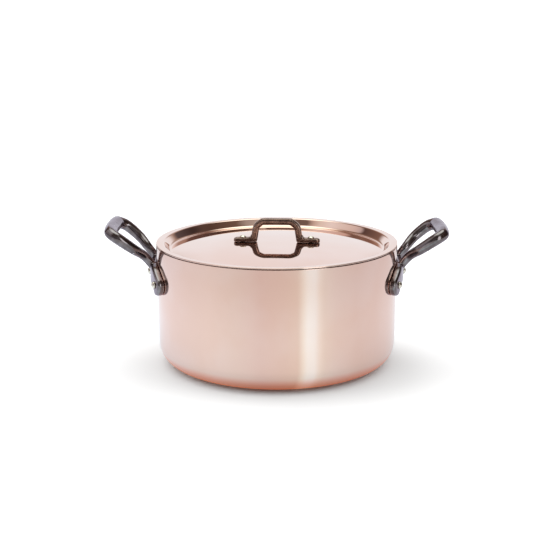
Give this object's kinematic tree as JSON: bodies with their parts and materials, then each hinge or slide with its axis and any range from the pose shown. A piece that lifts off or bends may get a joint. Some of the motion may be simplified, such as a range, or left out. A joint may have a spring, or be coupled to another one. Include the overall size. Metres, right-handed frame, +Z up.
{
  "type": "stew pan with lid",
  "caption": "Round polished copper stew pan with a steel lining, cast loop handles at its sides and a recessed lift-off lid with an arch handle.",
  "frame": {"origin": "middle of the base, in the plane that the pan stands on", "axes": "+Z up, and the two side handles at +X and -X"},
  "size_m": [0.3448, 0.244, 0.1469],
  "materials": {
    "pan_copper": "mirror-polished copper",
    "lid_copper": "mirror-polished copper",
    "lining_steel": "satin-brushed stainless steel, brushed in circles",
    "cast_iron": "smooth dark cast iron with a low shine",
    "rivet_steel": "polished stainless steel"
  },
  "bodies": {
    "pan": {"pan_copper_body": "pan_copper", "pan_steel_lining": "lining_steel", "left_handle": "cast_iron", "right_handle": "cast_iron", "left_handle_rivet_front": "rivet_steel", "left_handle_rivet_middle": "rivet_steel", "left_handle_rivet_rear": "rivet_steel", "right_handle_rivet_front": "rivet_steel", "right_handle_rivet_middle": "rivet_steel", "right_handle_rivet_rear": "rivet_steel"},
    "lid": {"lid_copper_shell": "lid_copper", "lid_steel_lining": "lining_steel", "lid_handle": "cast_iron", "lid_rivet_left": "rivet_steel", "lid_rivet_right": "rivet_steel"}
  },
  "joints": [
    {"name": "lid_lift", "type": "slide", "parent": "pan", "child": "lid", "axis": [0, 0, 1], "range_m": [0, 0.15]}
  ]
}
